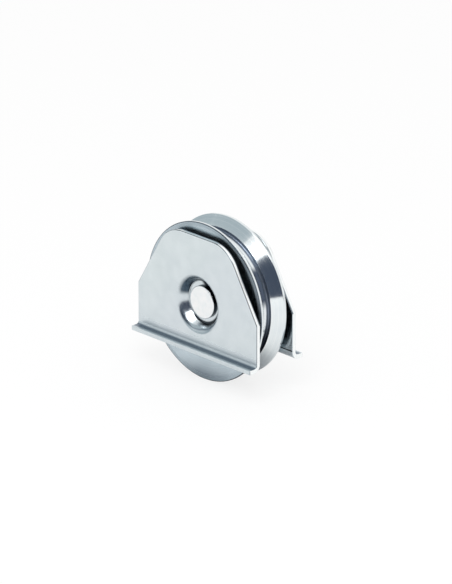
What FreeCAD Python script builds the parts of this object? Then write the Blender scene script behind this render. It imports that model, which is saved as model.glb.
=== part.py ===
import FreeCAD, Part
import math
import os
from FreeCAD import Vector

# V groove wheel in a pressed steel support, for the bottom rail of a sliding gate.
#
# A turned steel wheel runs on a deep groove ball bearing. The bearing sits on a pin, and the pin's ends are
# riveted over the dished floors of two pressed side plates. The foot of each plate is bent outwards into a
# flange, which seats against the underside of the gate's rail, so that the wheel stands out below it.
#
# Frame, in millimetres: the origin is the wheel's centre, +Y runs along the axle to the rear plate, +X runs
# along the gate's travel and +Z is up. The front plate is the one at -Y.

# Wheel
WHEEL_DIAMETER = 100.0
WHEEL_WIDTH = 21.0
RIM_LAND = 1.75  # flat left on the rim at each side of the groove
GROOVE_DEPTH = 5.75  # from the rim down to the relief slot
GROOVE_ANGLE = 90.0
RELIEF_DEPTH = 2.0  # slot below the V, so that only the V's walls run on the track
RELIEF_CORNER_RADIUS = 0.6
RELIEF_EDGE_RADIUS = 0.2
RIM_EDGE_RADIUS = 0.4
LIP_HEIGHT = 2.75  # lip of the bore that the bearing is pressed against

# Deep groove ball bearing
BEARING_BORE = 20.0
BEARING_DIAMETER = 47.0
BEARING_WIDTH = 14.0
BALL_DIAMETER = 7.938
BALL_COUNT = 8
BALL_PLAY = 0.02  # gap from a ball to either raceway
RACE_RADIUS = 4.13  # radius of the raceways' section
RACE_DEPTH = 1.62
RING_CORNER_RADIUS = 1.0
SHIELD_THICKNESS = 0.4
SHIELD_RECESS = 0.35  # from the bearing's face in to the shield
SHIELD_SEAT_HEIGHT = 1.2  # step in the outer ring that holds the shield
SHIELD_GAP = 0.25  # from the shield's bore to the inner ring
SHIELD_RIM = 0.45

# Ball cage, two pressed halves riveted together
CAGE_THICKNESS = 0.7
CAGE_WIDTH = 3.4
CAGE_POCKET_GAP = 0.12
CAGE_RIVET_DIAMETER = 1.5
CAGE_RIVET_HEAD_DIAMETER = 2.6
CAGE_RIVET_HEAD_HEIGHT = 0.5

# Retaining ring behind the bearing
RETAINER_THICKNESS = 1.75
RETAINER_GROOVE_WIDTH = 1.85
RETAINER_GROOVE_DEPTH = 1.25
RETAINER_BACK_WIDTH = 4.2  # width of its arm opposite the gap
RETAINER_END_WIDTH = 2.4  # width of its arm beside the lugs
RETAINER_LUG_RADIUS = 2.8
RETAINER_LUG_INSET = 0.6  # from the groove's wall to the lug
RETAINER_LUG_ANGLE = 13.0  # each lug's turn away from the middle of the gap
RETAINER_HOLE_DIAMETER = 2.5

# Axle pin and its spacers
TENON_DIAMETER = 16.0  # the pin's ends, where they pass through the plates
HEAD_DIAMETER = 20.6
HEAD_HEIGHT = 2.0
HEAD_EDGE_RADIUS = 0.5
SPACER_DIAMETER = 28.0
SPACER_THICKNESS = 0.5

# Side plates
PLATE_THICKNESS = 2.75
PLATE_WIDTH = 104.0
PLATE_TOP = 43.5  # height of the plate's top edge over the axle
PLATE_KNEE = 0.0  # height over the axle at which the sides start to lean in
PLATE_LEAN = 31.0
PLATE_CORNER_RADIUS = 22.0
PLATE_EDGE_RADIUS = 0.5
SIDE_CLEARANCE = 3.0  # from the wheel's side face to the plate
FLANGE_DROP = 27.0  # from the axle down to the flange's upper face
FLANGE_REACH = 5.75
FLANGE_EDGE_RADIUS = 0.2
BEND_RADIUS = 2.0
DISH_FLOOR_DIAMETER = 26.2
DISH_WALL_ANGLE = 57.0
DISH_CORNER_RADIUS = 0.5  # on the front, where the floor turns up into the wall
DISH_EDGE_RADIUS = 5.5  # on the front, where the wall runs out into the plate's face

# Places along the axle that several pieces share
BEARING_FACE = BEARING_WIDTH / 2
DISH_BACK = BEARING_FACE + SPACER_THICKNESS
DISH_FLOOR = DISH_BACK + PLATE_THICKNESS
PLATE_INNER = WHEEL_WIDTH / 2 + SIDE_CLEARANCE
PLATE_OUTER = PLATE_INNER + PLATE_THICKNESS

# Radii that several pieces share
PITCH_RADIUS = (BEARING_BORE + BEARING_DIAMETER) / 4
BALL_RADIUS = BALL_DIAMETER / 2
INNER_RACE = PITCH_RADIUS - BALL_RADIUS - BALL_PLAY
OUTER_RACE = PITCH_RADIUS + BALL_RADIUS + BALL_PLAY
INNER_SHOULDER = INNER_RACE + RACE_DEPTH
OUTER_SHOULDER = OUTER_RACE - RACE_DEPTH
SHIELD_SEAT = OUTER_SHOULDER + SHIELD_SEAT_HEIGHT
SHIELD_OUTER_FACE = BEARING_FACE - SHIELD_RECESS
SHIELD_INNER_FACE = SHIELD_OUTER_FACE - SHIELD_THICKNESS
RETAINER_RADIUS = BEARING_DIAMETER / 2 + RETAINER_GROOVE_DEPTH

ORIGIN = Vector(0, 0, 0)
AXLE = Vector(0, 1, 0)
UP = Vector(0, 0, 1)


def section(radius, along):
    """A point of a turned section: its distance from the axle's line, and its place along it."""
    return Vector(radius, along, 0)


def facing_front(x, z):
    """A point of an outline seen along the axle."""
    return Vector(x, 0, z)


def facing_side(y, z):
    """A point of an outline seen along the gate."""
    return Vector(0, y, z)


def closed_face(place, corners):
    """A flat face with straight sides through corners (u, v) or (u, v, radius), rounded where they say so."""
    points = [place(corner[0], corner[1]) for corner in corners]
    radii = [corner[2] if len(corner) > 2 else 0.0 for corner in corners]
    ends = []
    arcs = []
    for i, point in enumerate(points):
        back = (points[i - 1] - point).normalize()
        ahead = (points[(i + 1) % len(points)] - point).normalize()
        half_corner = back.getAngle(ahead) / 2
        reach = radii[i] / math.tan(half_corner)
        start = point + back * reach
        end = point + ahead * reach
        ends.append((start, end))
        if radii[i]:
            to_centre = (back + ahead).normalize()
            crown = point + to_centre * (radii[i] / math.sin(half_corner) - radii[i])
            arcs.append(Part.Arc(start, crown, end).toShape())
        else:
            arcs.append(None)
    edges = []
    for i in range(len(points)):
        if arcs[i]:
            edges.append(arcs[i])
        leave = ends[i][1]
        arrive = ends[(i + 1) % len(points)][0]
        if leave.distanceToPoint(arrive) > 1e-6:
            edges.append(Part.LineSegment(leave, arrive).toShape())
    return Part.Face(Part.Wire(edges))


def turned(corners):
    """A solid turned about the axle's line, from the corners of its section."""
    return closed_face(section, corners).revolve(ORIGIN, AXLE, 360)


def cylinder(radius, start, end, x=0.0, z=0.0):
    """A round bar along the axle's direction."""
    return Part.makeCylinder(radius, end - start, Vector(x, start, z), AXLE)


def tube(inner_radius, outer_radius, start, end):
    return cylinder(outer_radius, start, end).cut(cylinder(inner_radius, start, end))


def to_rear(shape):
    """The same piece turned end for end about the upright axis, as it sits at the rear."""
    return shape.rotated(ORIGIN, UP, 180)


def wheel():
    """Rim, web and hub in one turned piece: V groove with a relief slot outside, stepped bore inside."""
    rim = WHEEL_DIAMETER / 2
    face = WHEEL_WIDTH / 2
    mouth = face - RIM_LAND
    slot_top = rim - GROOVE_DEPTH
    slot_floor = slot_top - RELIEF_DEPTH
    slot_half = mouth - GROOVE_DEPTH * math.tan(math.radians(GROOVE_ANGLE / 2))
    bore = BEARING_DIAMETER / 2
    groove_end = BEARING_FACE + RETAINER_GROOVE_WIDTH
    return turned([
        (bore - LIP_HEIGHT, -face, RIM_EDGE_RADIUS),
        (rim, -face, RIM_EDGE_RADIUS),
        (rim, -mouth, RIM_EDGE_RADIUS),
        (slot_top, -slot_half, RELIEF_EDGE_RADIUS),
        (slot_floor, -slot_half, RELIEF_CORNER_RADIUS),
        (slot_floor, slot_half, RELIEF_CORNER_RADIUS),
        (slot_top, slot_half, RELIEF_EDGE_RADIUS),
        (rim, mouth, RIM_EDGE_RADIUS),
        (rim, face, RIM_EDGE_RADIUS),
        (bore, face, RIM_EDGE_RADIUS),
        (bore, groove_end),
        (RETAINER_RADIUS, groove_end),
        (RETAINER_RADIUS, BEARING_FACE),
        (bore, BEARING_FACE),
        (bore, -BEARING_FACE),
        (bore - LIP_HEIGHT, -BEARING_FACE),
    ])


def raceway(bottom_radius):
    """The ring that a ball's path cuts out of a bearing ring, its deepest point at bottom_radius."""
    side = 1 if bottom_radius > PITCH_RADIUS else -1
    return Part.makeTorus(bottom_radius - side * RACE_RADIUS, RACE_RADIUS, ORIGIN, AXLE)


def bearing_inner_ring():
    bore = BEARING_BORE / 2
    ring = turned([
        (bore, -BEARING_FACE, RING_CORNER_RADIUS),
        (INNER_SHOULDER, -BEARING_FACE),
        (INNER_SHOULDER, BEARING_FACE),
        (bore, BEARING_FACE, RING_CORNER_RADIUS),
    ])
    return ring.cut(raceway(INNER_RACE))


def bearing_outer_ring():
    outside = BEARING_DIAMETER / 2
    ring = turned([
        (outside, -BEARING_FACE, RING_CORNER_RADIUS),
        (outside, BEARING_FACE, RING_CORNER_RADIUS),
        (SHIELD_SEAT, BEARING_FACE),
        (SHIELD_SEAT, SHIELD_INNER_FACE),
        (OUTER_SHOULDER, SHIELD_INNER_FACE),
        (OUTER_SHOULDER, -SHIELD_INNER_FACE),
        (SHIELD_SEAT, -SHIELD_INNER_FACE),
        (SHIELD_SEAT, -BEARING_FACE),
    ])
    return ring.cut(raceway(OUTER_RACE))


def bearing_shield():
    """The rear shield: a thin washer whose rim is rolled into the outer ring's seat."""
    lip_end = (SHIELD_OUTER_FACE + BEARING_FACE) / 2
    return turned([
        (INNER_SHOULDER + SHIELD_GAP, SHIELD_INNER_FACE),
        (SHIELD_SEAT, SHIELD_INNER_FACE),
        (SHIELD_SEAT, lip_end),
        (SHIELD_SEAT - SHIELD_RIM, lip_end),
        (SHIELD_SEAT - SHIELD_RIM, SHIELD_OUTER_FACE),
        (INNER_SHOULDER + SHIELD_GAP, SHIELD_OUTER_FACE),
    ])


def on_pitch_circle(steps):
    """The point on the circle of ball centres that is so many ball spacings round from +X."""
    angle = 2 * math.pi * steps / BALL_COUNT
    return Vector(PITCH_RADIUS * math.cos(angle), 0, PITCH_RADIUS * math.sin(angle))


def ball(number):
    return Part.makeSphere(BALL_RADIUS, on_pitch_circle(number))


def cage_rear_half():
    """A pressed ribbon with a round pocket over each ball and a flat, drilled land between pockets."""
    inside = PITCH_RADIUS - CAGE_WIDTH / 2
    outside = PITCH_RADIUS + CAGE_WIDTH / 2
    pocket = BALL_RADIUS + CAGE_POCKET_GAP
    crown = pocket + CAGE_THICKNESS
    ribbon = tube(inside, outside, 0, CAGE_THICKNESS)
    band = tube(inside, outside, 0, crown)
    domes = [Part.makeSphere(crown, on_pitch_circle(k)).common(band) for k in range(BALL_COUNT)]
    hollows = [Part.makeSphere(pocket, on_pitch_circle(k)) for k in range(BALL_COUNT)]
    holes = []
    for k in range(BALL_COUNT):
        land = on_pitch_circle(k + 0.5)
        holes.append(cylinder(CAGE_RIVET_DIAMETER / 2, 0, CAGE_THICKNESS, land.x, land.z))
    return ribbon.fuse(domes).cut(hollows + holes).removeSplitter()


def cage_rivets():
    """One rivet between each pair of balls, headed on both faces of the cage."""
    shank = CAGE_RIVET_DIAMETER / 2
    head = CAGE_RIVET_HEAD_DIAMETER / 2
    top = CAGE_THICKNESS + CAGE_RIVET_HEAD_HEIGHT
    edge = CAGE_RIVET_HEAD_HEIGHT * 0.8
    rivet = turned([
        (0, -top),
        (head, -top, edge),
        (head, -CAGE_THICKNESS),
        (shank, -CAGE_THICKNESS),
        (shank, CAGE_THICKNESS),
        (head, CAGE_THICKNESS),
        (head, top, edge),
        (0, top),
    ])
    return Part.makeCompound([rivet.translated(on_pitch_circle(k + 0.5)) for k in range(BALL_COUNT)])


def retaining_ring():
    """An internal ring of tapering arms, with two drilled lugs at its gap, seated in the wheel's groove."""
    start = BEARING_FACE
    end = start + RETAINER_THICKNESS
    opening = RETAINER_RADIUS - (RETAINER_BACK_WIDTH + RETAINER_END_WIDTH) / 2
    shift = (RETAINER_BACK_WIDTH - RETAINER_END_WIDTH) / 2
    lug_place = RETAINER_RADIUS - RETAINER_LUG_INSET - RETAINER_LUG_RADIUS
    lug_angle = math.radians(RETAINER_LUG_ANGLE)
    lug_x = lug_place * math.sin(lug_angle)
    lug_z = lug_place * math.cos(lug_angle)
    ring = cylinder(RETAINER_RADIUS, start, end).cut(cylinder(opening, start, end, z=shift))
    gap = Part.makeBox(2 * lug_x, end - start, RETAINER_RADIUS, Vector(-lug_x, start, 0))
    lugs = [cylinder(RETAINER_LUG_RADIUS, start, end, x, lug_z) for x in (-lug_x, lug_x)]
    holes = [cylinder(RETAINER_HOLE_DIAMETER / 2, start, end, x, lug_z) for x in (-lug_x, lug_x)]
    return ring.cut(gap).fuse(lugs).cut(holes).removeSplitter()


def axle_pin():
    """A plain pin with a tenon at each end, riveted over to a flat round head."""
    body = BEARING_BORE / 2
    tenon = TENON_DIAMETER / 2
    head = HEAD_DIAMETER / 2
    end = DISH_FLOOR + HEAD_HEIGHT
    return turned([
        (0, -end),
        (head, -end, HEAD_EDGE_RADIUS),
        (head, -DISH_FLOOR),
        (tenon, -DISH_FLOOR),
        (tenon, -DISH_BACK),
        (body, -DISH_BACK),
        (body, DISH_BACK),
        (tenon, DISH_BACK),
        (tenon, DISH_FLOOR),
        (head, DISH_FLOOR),
        (head, end, HEAD_EDGE_RADIUS),
        (0, end),
    ])


def rear_spacer():
    """The washer that keeps the plate's dish off the bearing's shield."""
    return tube(BEARING_BORE / 2, SPACER_DIAMETER / 2, BEARING_FACE, DISH_BACK)


def bent_sheet():
    """The front plate's sheet before dishing: an upright web with its foot bent outwards."""
    underside = -FLANGE_DROP - PLATE_THICKNESS
    tip = -PLATE_OUTER - FLANGE_REACH
    return closed_face(facing_side, [
        (-PLATE_INNER, PLATE_TOP),
        (-PLATE_INNER, underside, BEND_RADIUS + PLATE_THICKNESS),
        (tip, underside, FLANGE_EDGE_RADIUS),
        (tip, -FLANGE_DROP, FLANGE_EDGE_RADIUS),
        (-PLATE_OUTER, -FLANGE_DROP, BEND_RADIUS),
        (-PLATE_OUTER, PLATE_TOP),
    ]).extrude(Vector(PLATE_WIDTH, 0, 0)).translated(Vector(-PLATE_WIDTH / 2, 0, 0))


def plate_outline():
    """What the blanking tool leaves: upright lower sides, leaning upper sides and a flat, rounded top."""
    half = PLATE_WIDTH / 2
    lean = (PLATE_TOP - PLATE_KNEE) * math.tan(math.radians(PLATE_LEAN))
    foot = -FLANGE_DROP - 2 * PLATE_THICKNESS
    depth = PLATE_OUTER + 2 * FLANGE_REACH
    return closed_face(facing_front, [
        (-half, foot),
        (half, foot),
        (half, PLATE_KNEE),
        (half - lean, PLATE_TOP, PLATE_CORNER_RADIUS),
        (lean - half, PLATE_TOP, PLATE_CORNER_RADIUS),
        (-half, PLATE_KNEE),
    ]).extrude(Vector(0, -depth, 0))


def dish_radii():
    """Where the dish's wall meets its floor and the plate's face, on the front, as sharp corners."""
    half_turn = math.tan(math.radians(DISH_WALL_ANGLE / 2))
    floor_corner = DISH_FLOOR_DIAMETER / 2 + DISH_CORNER_RADIUS * half_turn
    wall_run = (PLATE_OUTER - DISH_FLOOR) / math.tan(math.radians(DISH_WALL_ANGLE))
    return floor_corner, floor_corner + wall_run, half_turn


def dish(blank_radius):
    """The pressed dish with its hole, at the sheet's own thickness all the way."""
    floor_corner, face_corner, half_turn = dish_radii()
    back_corner_radius = DISH_CORNER_RADIUS + PLATE_THICKNESS
    back_edge_radius = DISH_EDGE_RADIUS - PLATE_THICKNESS
    back_step = PLATE_THICKNESS * half_turn
    hole = TENON_DIAMETER / 2
    return turned([
        (hole, -DISH_FLOOR),
        (floor_corner, -DISH_FLOOR, DISH_CORNER_RADIUS),
        (face_corner, -PLATE_OUTER, DISH_EDGE_RADIUS),
        (blank_radius, -PLATE_OUTER),
        (blank_radius, -PLATE_INNER),
        (face_corner + back_step, -PLATE_INNER, back_edge_radius),
        (floor_corner + back_step, -DISH_BACK, back_corner_radius),
        (hole, -DISH_BACK),
    ])


def front_plate():
    """Bent sheet, trimmed to its outline, its sharp edges broken, and dished round the axle."""
    face_corner, half_turn = dish_radii()[1:]
    blank_radius = face_corner + DISH_EDGE_RADIUS * half_turn + PLATE_THICKNESS / 2
    sheet = bent_sheet().common(plate_outline())
    faces = (-PLATE_OUTER, -PLATE_INNER)
    rim = [e for e in sheet.Edges if any(lies_in_plane(e, y) for y in faces) and not runs_along_foot(e)]
    sheet = sheet.makeFillet(PLATE_EDGE_RADIUS, rim)
    blank = cylinder(blank_radius, -PLATE_OUTER, -PLATE_INNER)
    return sheet.cut(blank).fuse(dish(blank_radius)).removeSplitter()


def lies_in_plane(edge, y):
    """True if the edge lies in the plane across the axle at y."""
    box = edge.BoundBox
    return abs(box.YMin - y) < 1e-4 and abs(box.YMax - y) < 1e-4


def runs_along_foot(edge):
    """True for the long line where the plate's face starts to bend into the flange."""
    box = edge.BoundBox
    return box.ZMax < -FLANGE_DROP + BEND_RADIUS + 1e-3 and box.XLength > PLATE_WIDTH / 2


def build():
    """Every piece, by the name of its node."""
    shield = bearing_shield()
    spacer = rear_spacer()
    cage = cage_rear_half()
    plate = front_plate()
    pieces = {
        "wheel": wheel(),
        "bearing_outer_ring": bearing_outer_ring(),
        "bearing_inner_ring": bearing_inner_ring(),
        "front_shield": to_rear(shield),
        "rear_shield": shield,
        "cage_front_half": to_rear(cage),
        "cage_rear_half": cage,
        "cage_rivets": cage_rivets(),
        "retaining_ring": retaining_ring(),
        "axle_pin": axle_pin(),
        "front_spacer": to_rear(spacer),
        "rear_spacer": spacer,
        "front_plate": plate,
        "rear_plate": to_rear(plate),
    }
    for number in range(BALL_COUNT):
        pieces[f"ball_{number + 1}"] = ball(number)
    return pieces


def main():
    os.makedirs("parts", exist_ok=True)
    for name, shape in build().items():
        solids = len(shape.Solids)
        print(f"{name:20s} solids {solids}  volume {shape.Volume:10.1f} mm3  valid {shape.isValid()}")
        shape.exportStep(f"parts/{name}.step")


main()
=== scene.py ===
# %% [markdown]
# # A V groove wheel in its steel support
#
# The object is a gate wheel: a turned steel wheel between two pressed side plates, all zinc plated, on a
# riveted pin and a ball bearing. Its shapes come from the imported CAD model, which this lesson loads as a
# fixed frame. What is made here is the light, the camera and the finish of each surface.

# %% Load the model
import bpy
import math
from mathutils import Matrix, Vector


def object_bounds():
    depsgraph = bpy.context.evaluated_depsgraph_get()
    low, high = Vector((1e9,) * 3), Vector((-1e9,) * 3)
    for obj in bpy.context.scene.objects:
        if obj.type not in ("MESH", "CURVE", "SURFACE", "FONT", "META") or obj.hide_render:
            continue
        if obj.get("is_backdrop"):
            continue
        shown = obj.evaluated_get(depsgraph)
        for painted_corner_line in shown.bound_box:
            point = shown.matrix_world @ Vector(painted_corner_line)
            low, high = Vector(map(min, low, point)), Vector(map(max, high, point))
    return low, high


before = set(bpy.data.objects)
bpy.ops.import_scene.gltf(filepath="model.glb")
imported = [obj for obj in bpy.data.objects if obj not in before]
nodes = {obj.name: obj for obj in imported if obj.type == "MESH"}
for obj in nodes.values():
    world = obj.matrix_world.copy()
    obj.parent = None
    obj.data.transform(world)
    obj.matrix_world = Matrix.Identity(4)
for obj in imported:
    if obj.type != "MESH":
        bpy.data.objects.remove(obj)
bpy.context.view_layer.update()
scene = bpy.context.scene
print("pieces from the CAD model:", len(nodes))

# %% [markdown]
# ## Camera
#
# The photo was taken from a few metres away, from the right and a little above. The wheel's two rims and
# the plate's corners give the angle. The wheel's centre lies a little left of the picture's middle and a
# little below it, so the camera steps the same amount aside, and needs no shift.

# %% Camera
PHOTO_SIZE = (452, 584)
AZIMUTH = math.radians(46.37)  # from the front towards the right
ELEVATION = math.radians(21.16)
DISTANCE = 4.16
PIXELS_PER_METRE = 1657.8
CENTRE_PIXEL = (216.6, 297.3)  # where the photo shows the wheel's centre
SENSOR = 36.0
FAR_LIMIT = 100.0

towards_camera = Vector((
    math.sin(AZIMUTH) * math.cos(ELEVATION),
    -math.cos(AZIMUTH) * math.cos(ELEVATION),
    math.sin(ELEVATION),
))
rightwards = Vector((math.cos(AZIMUTH), math.sin(AZIMUTH), 0))
upwards = towards_camera.cross(rightwards)
aside = (PHOTO_SIZE[0] / 2 - CENTRE_PIXEL[0]) / PIXELS_PER_METRE
above = (CENTRE_PIXEL[1] - PHOTO_SIZE[1] / 2) / PIXELS_PER_METRE

camera_data = bpy.data.cameras.new("camera")
camera_data.sensor_width = SENSOR
camera_data.sensor_height = SENSOR
camera_data.sensor_fit = "AUTO"
camera_data.lens = PIXELS_PER_METRE * DISTANCE / PHOTO_SIZE[1] * SENSOR
camera_data.clip_end = FAR_LIMIT
camera = bpy.data.objects.new("camera", camera_data)
scene.collection.objects.link(camera)
turn = Matrix((rightwards, upwards, towards_camera)).transposed().to_4x4()
standpoint = towards_camera * DISTANCE + rightwards * aside + upwards * above
camera.matrix_world = Matrix.Translation(standpoint) @ turn
scene.camera = camera
print("lens", round(camera_data.lens, 1), "mm, camera at", [round(v, 3) for v in standpoint])

# %% [markdown]
# ## Helpers for materials
#
# Colours are written as the hex values that a picture editor shows. Blender works in linear light, so one
# function turns them over. Another adds a node, sets its sockets and joins it to others.
#
# A finish differs from place to place, and masks say where. A mask reads a measure of the surface, such
# as its distance from the axle, in the piece's own axes, so nothing slides when the view changes. A
# switch is 1 where the measure is above or below a limit. A band is 1 within a reach of a middle value. A
# ramp climbs from 0 at one value to 1 at another. A join multiplies masks, so that all of them have to
# hold, or takes the largest. Each material lists its masks in tables, and one function adds the nodes for
# them.

# %% Colour and node helpers
MM = 0.001  # the scene is in metres
ACROSS_AXLE = (1, 0, 1)  # the axle runs along y
NOISE_SPAN = (0.35, 0.65)  # most values of a noise texture lie between these


def linear(hex_colour):
    """An sRGB hex colour as linear red, green, blue and alpha."""
    channels = [int(hex_colour[i:i + 2], 16) / 255 for i in (1, 3, 5)]
    return [c / 12.92 if c <= 0.04045 else ((c + 0.055) / 1.055) ** 2.4 for c in channels] + [1.0]


def add_node(tree, kind, settings=None, **sockets):
    """Adds a node. A socket goes by its name, with _ for a space, or by n and its number. It is given a
    value or another node's output."""
    node = tree.nodes.new(kind)
    for name, value in (settings or {}).items():
        setattr(node, name, value)
    for name, value in sockets.items():
        key = int(name[1:]) if name[0] == "n" and name[1:].isdigit() else name.replace("_", " ")
        socket = node.inputs[key]
        if isinstance(value, bpy.types.NodeSocket):
            tree.links.new(value, socket)
        else:
            socket.default_value = value
    return node


def new_material(name):
    """An empty material with its output node."""
    material = bpy.data.materials.new(name)
    material.use_nodes = True
    material.node_tree.nodes.clear()
    output = add_node(material.node_tree, "ShaderNodeOutputMaterial")
    return material, material.node_tree, output


def add_measures(tree):
    """What masks can read, by name: a point's place, the direction that its surface faces, and how far it
    lies from the axle and from the plane through the wheel's middle."""
    where = add_node(tree, "ShaderNodeTexCoord").outputs
    spot = add_node(tree, "ShaderNodeSeparateXYZ", Vector=where["Object"]).outputs
    turned = add_node(tree, "ShaderNodeSeparateXYZ", Vector=where["Normal"]).outputs
    across = add_node(tree, "ShaderNodeVectorMath", {"operation": "MULTIPLY"}, n0=where["Object"],
                      n1=ACROSS_AXLE).outputs[0]
    from_axle = add_node(tree, "ShaderNodeVectorMath", {"operation": "LENGTH"}, n0=across).outputs["Value"]
    from_middle = add_node(tree, "ShaderNodeMath", {"operation": "ABSOLUTE"}, n0=spot["Y"]).outputs[0]
    along_axle = add_node(tree, "ShaderNodeMath", {"operation": "ABSOLUTE"}, n0=turned["Y"]).outputs[0]
    return {
        "place": where["Object"], "x": spot["X"], "y": spot["Y"], "z": spot["Z"],
        "turned_x": turned["X"], "turned_y": turned["Y"], "turned_z": turned["Z"],
        "from_axle": from_axle, "from_middle": from_middle, "along_axle": along_axle,
    }


def add_masks(tree, measures, switches, bands, ramps, joins):
    """Adds the masks of four tables, in this order, and returns them by name together with the measures."""
    masks = dict(measures)
    for name, (test, measure, limit) in switches.items():
        masks[name] = add_node(tree, "ShaderNodeMath", {"operation": test}, n0=masks[measure],
                               n1=limit).outputs[0]
    for name, (measure, middle, reach) in bands.items():
        masks[name] = add_node(tree, "ShaderNodeMath", {"operation": "COMPARE"}, n0=masks[measure],
                               n1=middle, n2=reach).outputs[0]
    for name, (shape, measure, at_zero, at_one) in ramps.items():
        masks[name] = add_node(tree, "ShaderNodeMapRange", {"interpolation_type": shape},
                               Value=masks[measure], From_Min=at_zero, From_Max=at_one).outputs[0]
    for name, (operation, first, *others) in joins.items():
        masks[name] = masks[first]
        for other in others:
            masks[name] = add_node(tree, "ShaderNodeMath", {"operation": operation}, n0=masks[name],
                                   n1=masks[other]).outputs[0]
    return masks


print("white is", linear("#FFFFFF"))

# %% [markdown]
# ## Studio
#
# The photo has a white ground. Bright metal shows what stands around it, so the studio is as white as the
# ground, with a large soft lamp above the front. Dark screens in front and at the right give the metal
# its blue-grey shades, and a white card and a grey wall at the left give the paler ones. All of these
# screens are seen only in reflections.

# %% World
WORLD_LIGHT = 0.9
WHITE = (1.0, 1.0, 1.0, 1.0)


def seen_directly(tree):
    """1 for rays that see the background as a camera, polished metal or glass does, and 0 for others."""
    path = add_node(tree, "ShaderNodeLightPath").outputs
    sharp = add_node(tree, "ShaderNodeMath", {"operation": "MAXIMUM"}, n0=path["Is Camera Ray"],
                     n1=path["Is Glossy Ray"]).outputs[0]
    return add_node(tree, "ShaderNodeMath", {"operation": "MAXIMUM"}, n0=sharp,
                    n1=path["Is Transmission Ray"]).outputs[0]


world = bpy.data.worlds.new("studio_world")
world.use_nodes = True
scene.world = world
tree = world.node_tree
tree.nodes.clear()
soft = add_node(tree, "ShaderNodeBackground", Color=WHITE, Strength=WORLD_LIGHT).outputs[0]
bright = add_node(tree, "ShaderNodeBackground", Color=WHITE, Strength=1.0).outputs[0]
mixed = add_node(tree, "ShaderNodeMixShader", n0=seen_directly(tree), n1=soft, n2=bright).outputs[0]
add_node(tree, "ShaderNodeOutputWorld", Surface=mixed)
print("world light", WORLD_LIGHT, "and seen as plain white")

# %% Floor
FLOOR_HALF = 6.0
FLOOR_PALE = 0.83  # at which the lit floor comes out white
PLAIN_TO_CAMERA = 0.8  # share of the floor that the camera sees as plain white, the rest shows the shadow
PLAIN_TO_METAL = 0.1  # the same for the metal's reflections, which show the shadow nearly in full
# the pad below is a painted shadow under the wheel, which only the metal's reflections show
PAINTED_SHADOW_CENTRE = (-0.003, 0.0, 0.0)
PAINTED_SHADOW_STRETCH = (1.6, 1.0, 1.0)
PAINTED_SHADOW_FADE = (0.005, 0.032)  # the pad under the wheel fades out between these distances from its centre
PAINTED_SHADOW_COLOUR = "#16304F"

bpy.ops.object.select_all(action="DESELECT")
bpy.ops.mesh.primitive_plane_add(size=2 * FLOOR_HALF, location=(0, 0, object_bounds()[0][2]))
floor = bpy.context.object
floor.name = "floor"
material, tree, output = new_material("studio_floor")
path = add_node(tree, "ShaderNodeLightPath").outputs
# a painted shadow under the wheel, a dark bluish pad which only the metal's reflections show
place = add_node(tree, "ShaderNodeTexCoord").outputs["Object"]
from_painted_shadow = add_node(tree, "ShaderNodeVectorMath", {"operation": "SUBTRACT"}, n0=place,
                    n1=PAINTED_SHADOW_CENTRE).outputs[0]
from_painted_shadow = add_node(tree, "ShaderNodeVectorMath", {"operation": "DIVIDE"}, n0=from_painted_shadow,
                    n1=PAINTED_SHADOW_STRETCH).outputs[0]
from_painted_shadow = add_node(tree, "ShaderNodeVectorMath", {"operation": "LENGTH"}, n0=from_painted_shadow).outputs["Value"]
out_of_painted_shadow = add_node(tree, "ShaderNodeMapRange", Value=from_painted_shadow, From_Min=PAINTED_SHADOW_FADE[0],
                      From_Max=PAINTED_SHADOW_FADE[1]).outputs[0]
off_metal = add_node(tree, "ShaderNodeMath", {"operation": "SUBTRACT"}, n0=1.0,
                     n1=path["Is Glossy Ray"]).outputs[0]
out_of_painted_shadow = add_node(tree, "ShaderNodeMath", {"operation": "MAXIMUM"}, n0=out_of_painted_shadow,
                      n1=off_metal).outputs[0]
tone = add_node(tree, "ShaderNodeMix", {"data_type": "RGBA"}, n0=out_of_painted_shadow, n6=linear(PAINTED_SHADOW_COLOUR),
                n7=(FLOOR_PALE, FLOOR_PALE, FLOOR_PALE, 1)).outputs[2]
# the lit floor, and over it the plain white that hides most of its shadow
lit = add_node(tree, "ShaderNodeBsdfDiffuse", Color=tone).outputs[0]
glow = add_node(tree, "ShaderNodeEmission", Color=WHITE, Strength=1.0).outputs[0]
seen = add_node(tree, "ShaderNodeMath", {"operation": "MAXIMUM"}, n0=path["Is Camera Ray"],
                n1=path["Is Transmission Ray"]).outputs[0]
seen = add_node(tree, "ShaderNodeMath", {"operation": "MULTIPLY"}, n0=seen, n1=PLAIN_TO_CAMERA).outputs[0]
amount = add_node(tree, "ShaderNodeMath", {"operation": "MULTIPLY_ADD"}, n0=path["Is Glossy Ray"],
                  n1=PLAIN_TO_METAL, n2=seen).outputs[0]
mixed = add_node(tree, "ShaderNodeMixShader", n0=amount, n1=lit, n2=glow).outputs[0]
tree.links.new(mixed, output.inputs["Surface"])
floor.data.materials.append(material)
floor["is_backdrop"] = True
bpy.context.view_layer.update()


# %% Lamp
def add_area_lamp(name, azimuth, elevation, distance, size, power):
    """A square soft lamp that looks at the object. Azimuth is counted from the front towards the right."""
    lamp_data = bpy.data.lights.new(name, "AREA")
    lamp_data.shape = "SQUARE"
    lamp_data.size = size
    lamp_data.energy = power
    lamp = bpy.data.objects.new(name, lamp_data)
    scene.collection.objects.link(lamp)
    a, e = math.radians(azimuth), math.radians(elevation)
    direction = Vector((math.sin(a) * math.cos(e), -math.cos(a) * math.cos(e), math.sin(e)))
    lamp.location = direction * distance
    lamp.rotation_euler = direction.to_track_quat("Z", "Y").to_euler()
    print(name, "at azimuth", azimuth, "and elevation", elevation)


add_area_lamp("front_softbox", azimuth=34, elevation=57, distance=1.9, size=1.15, power=16)


# %% Screens
FLOOR_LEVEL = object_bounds()[0][2]


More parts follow.
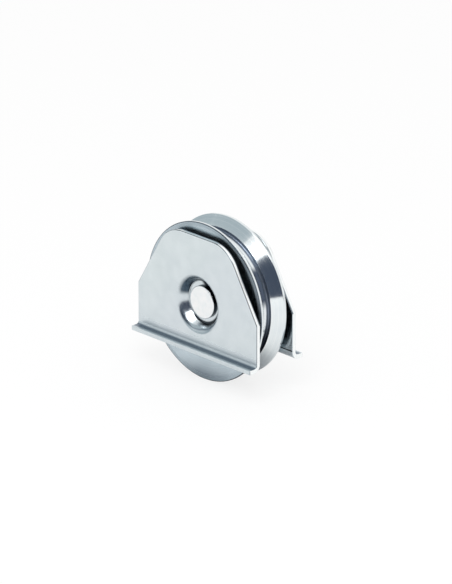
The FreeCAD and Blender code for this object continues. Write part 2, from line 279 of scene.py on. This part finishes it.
def add_screen(name, azimuth, distance, width, foot, top, colour):
    """A flat upright screen that faces the object, seen only in reflections. Foot and top are heights."""
    bpy.ops.object.select_all(action="DESELECT")
    a = math.radians(azimuth)
    middle = (math.sin(a) * distance, -math.cos(a) * distance, (foot + top) / 2)
    bpy.ops.mesh.primitive_plane_add(size=1, location=middle, rotation=(math.pi / 2, 0, a))
    screen = bpy.context.object
    screen.name = name
    screen.scale = (width, top - foot, 1)
    bpy.ops.object.transform_apply(location=False, rotation=False, scale=True)
    material, tree, output = new_material(name)
    cloth = add_node(tree, "ShaderNodeEmission", Color=linear(colour), Strength=1.0).outputs[0]
    tree.links.new(cloth, output.inputs["Surface"])
    screen.data.materials.append(material)
    screen.visible_camera = False
    screen.visible_diffuse = False
    screen.visible_shadow = False
    screen.visible_transmission = False
    screen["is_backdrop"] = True
    print(name, "at azimuth", azimuth, "up to", top, "m")


# dark cloth in front
add_screen("front_screen", azimuth=14, distance=1.5, width=3.4, foot=FLOOR_LEVEL, top=1.41,
           colour="#4A5363")
# white card at the left, a little above the object, which plate and flange show by way of each other
add_screen("white_card", azimuth=-50, distance=1.0, width=0.9, foot=0.2, top=0.66, colour="#F4F8F9")
# the dark cloth goes on at the right
add_screen("right_screen", azimuth=66, distance=1.45, width=0.75, foot=FLOOR_LEVEL, top=1.7,
           colour="#3E4558")
# grey wall at the left, which the groove shows at its top
add_screen("left_screen", azimuth=-57, distance=1.3, width=2.99, foot=FLOOR_LEVEL, top=2.6,
           colour="#B9C4C9")

# %% [markdown]
# ## Steel sheet, zinc plated
#
# The plates are stamped from hot rolled sheet, 2.75 mm thick, and plated bright. The sheet's own grain
# shows through the plating as a faint mottle some millimetres wide, with finer rolling lines along the
# sheet. The cut edges are burnished by the die and shine brighter than the faces, apart from the torn
# inner part of a stamped edge, and their near-white colour is partly that burnish and partly a painted
# highlight. The rounded corner between a cut edge and the outer face carries a painted thin dark line. The
# dish has painted shade where it lies out of the light: on the upper part of its wall, at the wall's foot
# and on two parts of its floor. Its lower lip, the crook of the bend and the inner face carry painted shade
# too, and a painted dark reflection marks the start of the bend.

# %% Plate measures
PLATE_MOTTLE = 9 * MM
PLATE_DRIFT = 55 * MM  # size of the slow change from a neutral to a cool tint
PLATE_GRAIN = 0.9 * MM  # real grain is near 0.05 mm, drawn coarser so that it shows
ROLLING_LINE = (14 * MM, 0.7 * MM)  # length and width of a rolling mark, drawn wider than the real 0.1 mm
SHADE_TILT = -0.5  # the shade on the dish's floor ends along a line that climbs by half of its run
# the painted shade on the inner face grows from its least share near the foot to full between these heights
INNER_SHADE_HEIGHTS = (-20 * MM, -10 * MM)  # the inner face grows duller between these heights
INNER_SHADE_LEAST = 0.35
LIP_SIDES = (-0.1, 0.16)  # turned_x at the two sides of the lip, between which its band of shade changes
LIP_DARKEST = (0.68, 0.86)  # along_axle where the band is darkest, at these two sides
LIP_FADED = (0.985, 0.91)  # along_axle where it has faded away, at these two sides
LIP_ONSET = 0.06  # along_axle from the band's start to where it is darkest

plate_steel, tree, output = new_material("zinc_plated_sheet")
measures = add_measures(tree)
measures["sideways"] = add_node(tree, "ShaderNodeMath", {"operation": "ABSOLUTE"},
                                n0=measures["turned_x"]).outputs[0]
# outward is 1 on faces that look away from the wheel and -1 on those that look at it
side = add_node(tree, "ShaderNodeMath", {"operation": "SIGN"}, n0=measures["y"]).outputs[0]
measures["outward"] = add_node(tree, "ShaderNodeMath", {"operation": "MULTIPLY"}, n0=side,
                               n1=measures["turned_y"]).outputs[0]
measures["right_and_up"] = add_node(tree, "ShaderNodeMath", {"operation": "ADD"}, n0=measures["x"],
                                    n1=measures["z"]).outputs[0]
measures["tilted_height"] = add_node(tree, "ShaderNodeMath", {"operation": "MULTIPLY_ADD"},
                                     n0=measures["x"], n1=SHADE_TILT, n2=measures["z"]).outputs[0]
# the share of painted shade on the inner face
measures["inner_shade_share"] = add_node(tree, "ShaderNodeMapRange", Value=measures["z"], From_Min=INNER_SHADE_HEIGHTS[0],
                                From_Max=INNER_SHADE_HEIGHTS[1], To_Min=INNER_SHADE_LEAST).outputs[0]
lip_darkest = add_node(tree, "ShaderNodeMapRange", Value=measures["turned_x"], From_Min=LIP_SIDES[0],
                       From_Max=LIP_SIDES[1], To_Min=LIP_DARKEST[0], To_Max=LIP_DARKEST[1]).outputs[0]
lip_start = add_node(tree, "ShaderNodeMath", {"operation": "SUBTRACT"}, n0=lip_darkest,
                     n1=LIP_ONSET).outputs[0]
lip_faded = add_node(tree, "ShaderNodeMapRange", Value=measures["turned_x"], From_Min=LIP_SIDES[0],
                     From_Max=LIP_SIDES[1], To_Min=LIP_FADED[0], To_Max=LIP_FADED[1]).outputs[0]
measures["into_lip"] = add_node(tree, "ShaderNodeMapRange", Value=measures["along_axle"],
                                From_Min=lip_start, From_Max=lip_darkest).outputs[0]
measures["out_of_lip"] = add_node(tree, "ShaderNodeMapRange", Value=measures["along_axle"],
                                  From_Min=lip_darkest, From_Max=lip_faded, To_Min=1.0,
                                  To_Max=0.0).outputs[0]
print("plate measures:", ", ".join(measures))

# %% Plate masks
PLATE_SWITCHES = {
    "out_of_dish": ("GREATER_THAN", "from_axle", 20 * MM),
    "above_bend": ("GREATER_THAN", "z", -24 * MM),
    "looks_aside": ("GREATER_THAN", "sideways", 0.5),  # the ends, also those of the bend and the flange
    "stamped": ("LESS_THAN", "sideways", 0.93),  # all but the upright ends, the strip's own smooth edges
    "outer_half": ("GREATER_THAN", "from_middle", 15 * MM),  # of the sheet's thickness
    "looks_out": ("GREATER_THAN", "outward", 0.2),
    "looks_in": ("LESS_THAN", "outward", -0.9),
    "looks_up": ("GREATER_THAN", "turned_z", 0.1),
}
PLATE_BANDS = {
    "slanting": ("along_axle", 0.72, 0.22),  # the rounding between a face and a cut edge
    "bend_start": ("z", -24.05 * MM, 0.4 * MM),
    "beyond_floor": ("from_axle", 17 * MM, 4.1 * MM),  # the dish's wall and lip
    "floor_depth": ("from_middle", 10.2 * MM, 0.7 * MM),  # how far out the dish's floor lies
}
PLATE_RAMPS = {
    "steep": ("LINEAR", "along_axle", 0.45, 0.3),  # faces that look across the axle
    "torn_part": ("LINEAR", "from_middle", 14.5 * MM, 14.1 * MM),  # next to the inner face, at 13.5 mm
    "sloping": ("LINEAR", "along_axle", 0.95, 0.68),  # the dish's wall, but neither floor nor plain sheet
    "floor_edge": ("LINEAR", "from_axle", 12.0 * MM, 12.9 * MM),  # where the floor meets the wall
    "lower_side": ("LINEAR", "turned_z", 0.12, 0.3),  # the dish's lower side, which looks up
    "lit_less": ("SMOOTHSTEP", "turned_z", -0.02, -0.22),  # the dish's upper side, which looks down
    "deep": ("SMOOTHSTEP", "from_middle", 13.8 * MM, 11.6 * MM),  # the lower part of the dish's wall
    "away_from_light": ("SMOOTHSTEP", "turned_x", 0.25, -0.1),  # the lamp hangs at the right
    "beside_head": ("SMOOTHSTEP", "right_and_up", 9 * MM, 13 * MM),  # the pin's head, at its upper right
    "low_down": ("SMOOTHSTEP", "tilted_height", -4 * MM, -8 * MM),
    "into_crook": ("SMOOTHSTEP", "from_middle", 16.3 * MM, 17.3 * MM),  # from the sheet's outer face on
    "out_of_crook": ("SMOOTHSTEP", "from_middle", 21.6 * MM, 19.6 * MM),  # towards the flange's edge
    "near_bend": ("SMOOTHSTEP", "z", -19 * MM, -25 * MM),
}
PLATE_JOINS = {
    "on_outline": ("MAXIMUM", "above_bend", "looks_aside"),
    "cut_place": ("MULTIPLY", "on_outline", "out_of_dish"),
    # the cut edges, whose near-white colour is partly their burnish and partly a painted highlight
    "cut_edge": ("MULTIPLY", "cut_place", "steep"),
    "torn": ("MULTIPLY", "torn_part", "cut_edge", "stamped"),
    # painted thin dark line on the rounding between a cut edge and the outer face
    "painted_corner_line": ("MULTIPLY", "slanting", "cut_place", "outer_half"),
    # painted shade on the inner face, which looks at the wheel
    "inner_face_shade": ("MULTIPLY", "looks_in", "above_bend", "inner_shade_share"),
    # painted dark reflection along the start of the bend on the inner face
    "bend_reflection_line": ("MULTIPLY", "bend_start", "looks_in"),
    "in_dish": ("MULTIPLY", "beyond_floor", "looks_out"),
    # painted shade on the upper part of the dish's wall, which looks down
    "upper_wall_shade": ("MULTIPLY", "lit_less", "sloping", "in_dish"),
    # painted shade at the foot of the dish's wall, on the side away from the lamp
    "wall_foot_shade": ("MULTIPLY", "deep", "away_from_light", "in_dish"),
    "low_edge": ("MULTIPLY", "floor_edge", "low_down"),
    "shade": ("MAXIMUM", "beside_head", "low_edge"),
    "shaded_floor": ("MULTIPLY", "shade", "floor_depth", "looks_out"),
    # painted shade along the dish's lower lip, standing in for a darker reflection
    "lip_shade": ("MULTIPLY", "into_lip", "out_of_lip", "lower_side", "in_dish"),
    # painted shade in the crook of the bend, on its upper side
    "crook_shade": ("MULTIPLY", "into_crook", "out_of_crook", "looks_up", "near_bend"),
}
masks = add_masks(tree, measures, PLATE_SWITCHES, PLATE_BANDS, PLATE_RAMPS, PLATE_JOINS)
print("plate masks:", ", ".join(PLATE_JOINS))

# %% Plate colour
MOTTLE_SPAN = (0.3, 0.7)
PLATE_SHADES = {
    # painted shade on the dish's upper wall
    "upper_wall_shade": "#4F5D68",
    # painted shade at the foot of the dish's wall
    "wall_foot_shade": "#161D24",
    "shaded_floor": "#161D24",
    # painted shade on the dish's lower lip
    "lip_shade": "#8B96A0",
    # painted shade in the crook of the bend
    "crook_shade": "#7C8793",
    # painted shade on the inner face
    "inner_face_shade": "#8B959D",
    # painted dark reflection where the bend starts
    "bend_reflection_line": "#20262C",
    # painted dark line at the rounded corner beside the cut edge
    "painted_corner_line": "#56616B",
    # partly the cut edges' burnish and partly a painted highlight
    "cut_edge": "#F7FAFA",
    "torn": "#8A949C",
}

mottle = add_node(tree, "ShaderNodeTexNoise", Vector=measures["place"], Scale=1 / PLATE_MOTTLE, Detail=3.0,
                  Roughness=0.55).outputs["Fac"]
drift = add_node(tree, "ShaderNodeTexNoise", Vector=measures["place"], Scale=1 / PLATE_DRIFT,
                 Detail=1.0).outputs["Fac"]
tone = add_node(tree, "ShaderNodeMapRange", Value=mottle, From_Min=MOTTLE_SPAN[0],
                From_Max=MOTTLE_SPAN[1]).outputs[0]
tint = add_node(tree, "ShaderNodeMapRange", Value=drift, From_Min=NOISE_SPAN[0],
                From_Max=NOISE_SPAN[1]).outputs[0]
neutral = add_node(tree, "ShaderNodeMix", {"data_type": "RGBA"}, n0=tone, n6=linear("#D0D9DB"),
                   n7=linear("#D9E1E3")).outputs[2]
cool = add_node(tree, "ShaderNodeMix", {"data_type": "RGBA"}, n0=tone, n6=linear("#CDD5DA"),
                n7=linear("#D5DCE0")).outputs[2]
colour = add_node(tree, "ShaderNodeMix", {"data_type": "RGBA"}, n0=tint, n6=neutral, n7=cool).outputs[2]
for name, shade in PLATE_SHADES.items():
    colour = add_node(tree, "ShaderNodeMix", {"data_type": "RGBA"}, n0=masks[name], n6=colour,
                      n7=linear(shade)).outputs[2]
print("plate shades:", len(PLATE_SHADES))

# %% Plate surface
RELIEF_SPAN = (0.7, 1.3)  # most sums of the two noises lie between these
SHEET_ROUGHNESS = (0.16, 0.26)
DISH_ROUGHER = 0.02
BEND_ROUGHER = 0.16  # the bending die scours the sheet on both sides of the bend
GRAIN_DEPTH = 0.02 * MM
GRAIN_STRENGTH = (0.25, 0.08)  # on plain sheet, and where the press smooths the grain as it draws the dish

stretched = add_node(tree, "ShaderNodeVectorMath", {"operation": "DIVIDE"}, n0=measures["place"],
                     n1=(ROLLING_LINE[0], ROLLING_LINE[0], ROLLING_LINE[1])).outputs[0]
lines = add_node(tree, "ShaderNodeTexNoise", Vector=stretched, Scale=1.0, Detail=2.0).outputs["Fac"]
grain = add_node(tree, "ShaderNodeTexNoise", Vector=measures["place"], Scale=1 / PLATE_GRAIN,
                 Detail=2.0).outputs["Fac"]
relief = add_node(tree, "ShaderNodeMath", {"operation": "ADD"}, n0=lines, n1=grain).outputs[0]
strength = add_node(tree, "ShaderNodeMapRange", Value=masks["beyond_floor"], To_Min=GRAIN_STRENGTH[0],
                    To_Max=GRAIN_STRENGTH[1]).outputs[0]
bump = add_node(tree, "ShaderNodeBump", Height=relief, Strength=strength, Distance=GRAIN_DEPTH).outputs[0]
roughness = add_node(tree, "ShaderNodeMapRange", Value=relief, From_Min=RELIEF_SPAN[0],
                     From_Max=RELIEF_SPAN[1], To_Min=SHEET_ROUGHNESS[0],
                     To_Max=SHEET_ROUGHNESS[1]).outputs[0]
for name, rougher in (("beyond_floor", DISH_ROUGHER), ("near_bend", BEND_ROUGHER)):
    roughness = add_node(tree, "ShaderNodeMath", {"operation": "MULTIPLY_ADD"}, n0=masks[name], n1=rougher,
                         n2=roughness).outputs[0]
shader = add_node(tree, "ShaderNodeBsdfPrincipled", Base_Color=colour, Metallic=1.0, Roughness=roughness,
                  Normal=bump).outputs[0]
tree.links.new(shader, output.inputs["Surface"])
print("plate finish:", plate_steel.name, len(tree.nodes), "nodes")

# %% [markdown]
# ## Wheel, turned and zinc plated
#
# The wheel is turned on a lathe, and the tool leaves fine rings round the axle on every face. They spread
# a reflection across themselves and keep it sharp along themselves, which is what anisotropy does, with
# its tangent running round the axle. Noise read from the distance to the axle and the place along it
# gives the rings, the same all the way round. The groove's walls are finished finer than the side faces,
# whose outer part the facing tool leaves duller. The side faces are also coloured darker, as painted
# shade. The front corner of the rim carries a painted dark line, and the rear one stays bright.
#
# The walls and corners of the narrow slot under the V are rougher and carry painted shade, and their
# lower stretch a nearly black painted shadow. The slot's floor is bright at the wheel's top and bottom,
# and carries painted shade between.

# %% Wheel measures
TURNING_RING = 0.8 * MM  # the real feed is near 0.15 mm, drawn wider so that it shows
TURNING_DRIFT = 5 * MM
TURNING_BLOTCH = 12 * MM

wheel_steel, tree, output = new_material("zinc_plated_turned_steel")
measures = add_measures(tree)
ring_place = add_node(tree, "ShaderNodeCombineXYZ", X=measures["from_axle"], Y=measures["y"]).outputs[0]
rings = add_node(tree, "ShaderNodeTexNoise", {"noise_dimensions": "2D"}, Vector=ring_place,
                 Scale=1 / TURNING_RING, Detail=3.0, Roughness=0.6).outputs["Fac"]
drift = add_node(tree, "ShaderNodeTexNoise", {"noise_dimensions": "2D"}, Vector=ring_place,
                 Scale=1 / TURNING_DRIFT, Detail=1.0).outputs["Fac"]
blotch = add_node(tree, "ShaderNodeTexNoise", Vector=measures["place"], Scale=1 / TURNING_BLOTCH,
                  Detail=2.0).outputs["Fac"]
print("turning rings", TURNING_RING, "m wide")

# %% Wheel masks
WHEEL_SWITCHES = {
    "below_groove": ("LESS_THAN", "from_axle", 44.25 * MM),  # where the V ends and the slot begins
    "at_rim": ("GREATER_THAN", "from_axle", 49.45 * MM),
    "at_side": ("GREATER_THAN", "from_middle", 10.05 * MM),
    "front_half": ("LESS_THAN", "y", 0.0),
}
WHEEL_BANDS = {
    "in_middle": ("y", 0.0, 3.2 * MM),  # the slot is 6 mm wide
}
WHEEL_RAMPS = {
    "side_face": ("LINEAR", "along_axle", 0.93, 0.98),
    "outer_part": ("SMOOTHSTEP", "from_axle", 46.6 * MM, 48.6 * MM),
    "off_middle": ("LINEAR", "from_middle", 0.8 * MM, 1.2 * MM),  # the slot's walls and corners
    "near_middle": ("LINEAR", "from_middle", 1.7 * MM, 1.3 * MM),  # the slot's floor
    "lower_stretch": ("SMOOTHSTEP", "z", 3 * MM, -19 * MM),
    # under_top and over_level bound the stretch of the slot's floor that gets painted shade
    "under_top": ("SMOOTHSTEP", "z", 29 * MM, 25 * MM),  # with over_level, the dull stretch of the floor
    "over_level": ("SMOOTHSTEP", "z", 3 * MM, 10 * MM),
}
WHEEL_JOINS = {
    # painted dark line along the rim's front corner
    "painted_corner_line": ("MULTIPLY", "at_rim", "at_side", "front_half"),
    "beside_rim": ("MULTIPLY", "outer_part", "side_face"),
    "in_slot": ("MULTIPLY", "below_groove", "in_middle"),
    # painted shade on the slot's walls and corners
    "shaded_slot_wall": ("MULTIPLY", "in_slot", "off_middle"),
    # painted shadow, nearly black, on the slot's lower stretch
    "slot_foot_shadow": ("MULTIPLY", "lower_stretch", "shaded_slot_wall"),
    # painted shade on the slot's floor between the wheel's top and middle
    "shaded_slot_floor": ("MULTIPLY", "near_middle", "in_slot", "under_top", "over_level"),
}
masks = add_masks(tree, measures, WHEEL_SWITCHES, WHEEL_BANDS, WHEEL_RAMPS, WHEEL_JOINS)
print("wheel masks:", ", ".join(WHEEL_JOINS))

# %% Wheel colour
DRIFT_SHARE = 0.35
BLOTCH_SHARE = 0.3
WHEEL_SHADES = {
    # painted shade in the slot
    "shaded_slot_wall": "#848E9C",
    # painted shadow on the slot's lower stretch
    "slot_foot_shadow": "#262C36",
    # painted shade on the slot's floor
    "shaded_slot_floor": "#4E5868",
    # painted dark line on the rim's front corner
    "painted_corner_line": "#66717B",
}

mixed = add_node(tree, "ShaderNodeMix", {"data_type": "FLOAT"}, n0=DRIFT_SHARE, n2=rings,
                 n3=drift).outputs[0]
mixed = add_node(tree, "ShaderNodeMix", {"data_type": "FLOAT"}, n0=BLOTCH_SHARE, n2=mixed,
                 n3=blotch).outputs[0]
tone = add_node(tree, "ShaderNodeMapRange", Value=mixed, From_Min=NOISE_SPAN[0],
                From_Max=NOISE_SPAN[1]).outputs[0]
wall = add_node(tree, "ShaderNodeMix", {"data_type": "RGBA"}, n0=tone, n6=linear("#DDE4E7"),
                n7=linear("#EEF2F2")).outputs[2]
# the side faces' darker colour is painted shade
face = add_node(tree, "ShaderNodeMix", {"data_type": "RGBA"}, n0=tone, n6=linear("#B5C2CA"),
                n7=linear("#CCD8DE")).outputs[2]
colour = add_node(tree, "ShaderNodeMix", {"data_type": "RGBA"}, n0=masks["side_face"], n6=wall,
                  n7=face).outputs[2]
for name, shade in WHEEL_SHADES.items():
    colour = add_node(tree, "ShaderNodeMix", {"data_type": "RGBA"}, n0=masks[name], n6=colour,
                      n7=linear(shade)).outputs[2]
print("wheel shades:", len(WHEEL_SHADES))

# %% Wheel surface
WALL_ROUGHNESS = (0.1, 0.15)
FACE_ROUGHNESS = (0.18, 0.24)
SLOT_ROUGHER = 0.22
RIM_ROUGHER = 0.22
RING_DEPTH = 0.01 * MM
RING_STRENGTH = 0.12
RING_SPREAD = 0.75  # how unevenly the rings spread a reflection
QUARTER_TURN = 0.25  # spreads the reflection across the rings, and not along them

bump = add_node(tree, "ShaderNodeBump", Height=rings, Strength=RING_STRENGTH,
                Distance=RING_DEPTH).outputs[0]
fine = add_node(tree, "ShaderNodeMapRange", Value=tone, To_Min=WALL_ROUGHNESS[0],
                To_Max=WALL_ROUGHNESS[1]).outputs[0]
coarse = add_node(tree, "ShaderNodeMapRange", Value=tone, To_Min=FACE_ROUGHNESS[0],
                  To_Max=FACE_ROUGHNESS[1]).outputs[0]
roughness = add_node(tree, "ShaderNodeMix", {"data_type": "FLOAT"}, n0=masks["side_face"], n2=fine,
                     n3=coarse).outputs[0]
for name, rougher in (("shaded_slot_wall", SLOT_ROUGHER), ("beside_rim", RIM_ROUGHER)):
    roughness = add_node(tree, "ShaderNodeMath", {"operation": "MULTIPLY_ADD"}, n0=masks[name], n1=rougher,
                         n2=roughness).outputs[0]
around = add_node(tree, "ShaderNodeTangent", {"direction_type": "RADIAL", "axis": "Y"}).outputs[0]
shader = add_node(tree, "ShaderNodeBsdfPrincipled", Base_Color=colour, Metallic=1.0, Roughness=roughness,
                  Anisotropic=RING_SPREAD, Anisotropic_Rotation=QUARTER_TURN, Tangent=around,
                  Normal=bump).outputs[0]
tree.links.new(shader, output.inputs["Surface"])
print("wheel finish:", wheel_steel.name, len(tree.nodes), "nodes")

# %% [markdown]
# ## Pin, bearing and retaining ring
#
# The pin's ends are upset over the dished floors by a riveting tool, which leaves them smooth and bright.
# The rim of the head carries painted shade. The bearing inside is ground steel with polished balls, and
# its cage and shields are pressed from thin sheet. The retaining ring is spring steel, blackened in a
# phosphate bath.

# %% Pin
PIN_CLOUD = 4 * MM
PIN_ROUGHNESS = (0.16, 0.3)
CLOUD_DEPTH = 0.03 * MM
CLOUD_STRENGTH = 0.2
PIN_SWITCHES = {"outside": ("GREATER_THAN", "from_axle", 9.9 * MM)}  # close to the head's edge, at 10.3 mm
PIN_RAMPS = {"upright": ("LINEAR", "along_axle", 0.35, 0.2)}  # faces that look across the axle
# painted shade on the rim of the pin's head
PIN_JOINS = {"head_rim_shade": ("MULTIPLY", "upright", "outside")}

pin_steel, tree, output = new_material("riveted_bright_steel")
measures = add_measures(tree)
masks = add_masks(tree, measures, PIN_SWITCHES, {}, PIN_RAMPS, PIN_JOINS)
cloud = add_node(tree, "ShaderNodeTexNoise", Vector=measures["place"], Scale=1 / PIN_CLOUD,
                 Detail=3.0).outputs["Fac"]
tone = add_node(tree, "ShaderNodeMapRange", Value=cloud, From_Min=NOISE_SPAN[0],
                From_Max=NOISE_SPAN[1]).outputs[0]
colour = add_node(tree, "ShaderNodeMix", {"data_type": "RGBA"}, n0=tone, n6=linear("#E9EDEE"),
                  n7=linear("#F4F4F4")).outputs[2]
# painted shade on the rim of the pin's head
colour = add_node(tree, "ShaderNodeMix", {"data_type": "RGBA"}, n0=masks["head_rim_shade"], n6=colour,
                  n7=linear("#2C333B")).outputs[2]
roughness = add_node(tree, "ShaderNodeMapRange", Value=cloud, To_Min=PIN_ROUGHNESS[0],
                     To_Max=PIN_ROUGHNESS[1]).outputs[0]
bump = add_node(tree, "ShaderNodeBump", Height=cloud, Strength=CLOUD_STRENGTH,
                Distance=CLOUD_DEPTH).outputs[0]
shader = add_node(tree, "ShaderNodeBsdfPrincipled", Base_Color=colour, Metallic=1.0, Roughness=roughness,
                  Normal=bump).outputs[0]
tree.links.new(shader, output.inputs["Surface"])
print("pin finish:", pin_steel.name, len(tree.nodes), "nodes")

# %% Bearing, cage and retaining ring
MARK_STRENGTH = 0.2


def worked_steel(name, dark, light, mark, smooth, dull, relief):
    """Plain worked steel: two close colours and roughnesses over marks of one size, and a faint bump."""
    material, tree, output = new_material(name)
    place = add_node(tree, "ShaderNodeTexCoord").outputs["Object"]
    marks = add_node(tree, "ShaderNodeTexNoise", Vector=place, Scale=1 / mark, Detail=3.0).outputs["Fac"]
    tone = add_node(tree, "ShaderNodeMapRange", Value=marks, From_Min=NOISE_SPAN[0],
                    From_Max=NOISE_SPAN[1]).outputs[0]
    colour = add_node(tree, "ShaderNodeMix", {"data_type": "RGBA"}, n0=tone, n6=linear(dark),
                      n7=linear(light)).outputs[2]
    roughness = add_node(tree, "ShaderNodeMapRange", Value=tone, To_Min=smooth, To_Max=dull).outputs[0]
    bump = add_node(tree, "ShaderNodeBump", Height=marks, Strength=MARK_STRENGTH,
                    Distance=relief).outputs[0]
    shader = add_node(tree, "ShaderNodeBsdfPrincipled", Base_Color=colour, Metallic=1.0,
                      Roughness=roughness, Normal=bump).outputs[0]
    tree.links.new(shader, output.inputs["Surface"])
    print(name, "with marks of", mark, "m")
    return material


# ground: fine marks and a mirror-like shine
ring_steel = worked_steel("ground_bearing_steel", dark="#CFCFD2", light="#DADADD", mark=0.6 * MM,
                          smooth=0.08, dull=0.16, relief=0.002 * MM)
# lapped to a mirror
ball_steel = worked_steel("polished_ball_steel", dark="#DADADC", light="#E2E2E4", mark=1.5 * MM,
                          smooth=0.03, dull=0.06, relief=0.001 * MM)
# pressed from cold rolled strip, a little warm and dull
cage_steel = worked_steel("pressed_strip_steel", dark="#B9B8B4", light="#C8C7C4", mark=0.8 * MM,
                          smooth=0.22, dull=0.34, relief=0.01 * MM)
# phosphated: near black, matt and grainy with crystals
spring_steel = worked_steel("phosphated_spring_steel", dark="#232326", light="#35353A", mark=0.5 * MM,
                            smooth=0.45, dull=0.62, relief=0.02 * MM)

# %% Give each piece its finish
PIN_PIECES = ("axle_pin", "front_spacer", "rear_spacer")
SHEET_PIECES = ("front_shield", "rear_shield", "cage_front_half", "cage_rear_half", "cage_rivets")

for name, node in nodes.items():
    node.data.materials.clear()
    if name.endswith("_plate"):
        finish = plate_steel
    elif name == "wheel":
        finish = wheel_steel
    elif name in PIN_PIECES:
        finish = pin_steel
    elif name in SHEET_PIECES:
        finish = cage_steel
    elif name == "retaining_ring":
        finish = spring_steel
    elif name.startswith("ball_"):
        finish = ball_steel
    else:
        finish = ring_steel
    node.data.materials.append(finish)
    print(name, "->", finish.name)

# %% View
scene.view_settings.view_transform = "Standard"
